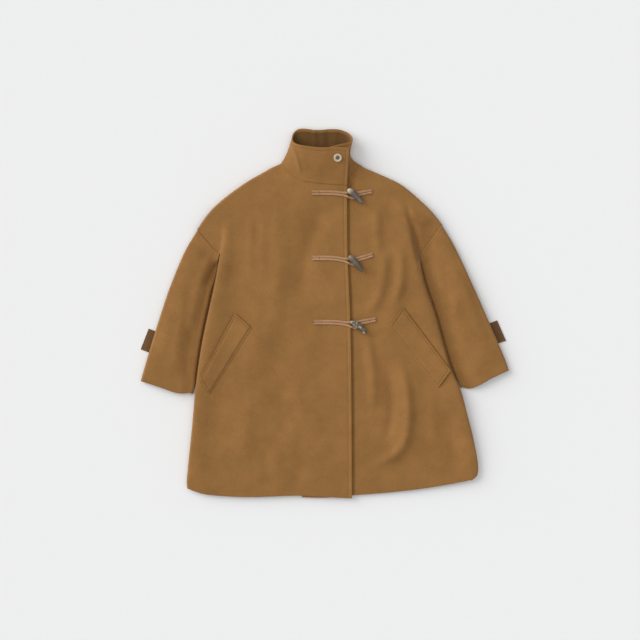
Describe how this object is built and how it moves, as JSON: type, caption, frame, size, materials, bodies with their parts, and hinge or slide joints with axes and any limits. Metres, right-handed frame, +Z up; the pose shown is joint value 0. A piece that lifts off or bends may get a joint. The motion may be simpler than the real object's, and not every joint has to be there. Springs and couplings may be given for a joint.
{
  "type": "duffle coat",
  "caption": "Loose duffle coat laid flat, with a tall buttoned stand collar, slanted pocket welts, horn toggles on leather loops and wide sleeves with cuff tabs.",
  "frame": {"origin": "middle of the coat's outline, on the surface that it lies on", "axes": "+Z up out of the front of the coat, +Y towards the collar, +X towards the wearer's left side"},
  "size_m": [0.8832, 0.886, 0.0492],
  "materials": {
    "wool": "matte tan coating wool with a short nap",
    "dark_wool": "matte dark brown wool",
    "leather": "plain light brown leather with paler cut edges",
    "horn": "polished grey-brown horn with pale streaks",
    "shell": "polished pale four-hole button"
  },
  "bodies": {
    "root": {"back": "wool", "front_right": "wool", "front_left": "wool", "sleeve_right_top": "wool", "sleeve_right_under": "wool", "sleeve_left_top": "wool", "sleeve_left_under": "wool", "collar": "wool", "pocket_welt_right": "wool", "pocket_welt_left": "wool", "cuff_tab_right": "dark_wool", "cuff_tab_left": "dark_wool", "toggle_loop_top": "leather", "toggle_loop_middle": "leather", "toggle_loop_bottom": "leather", "toggle_strap_top": "leather", "toggle_strap_middle": "leather", "toggle_strap_bottom": "leather", "toggle_top": "horn", "toggle_middle": "horn", "toggle_bottom": "horn", "collar_button": "shell"}
  },
  "joints": []
}
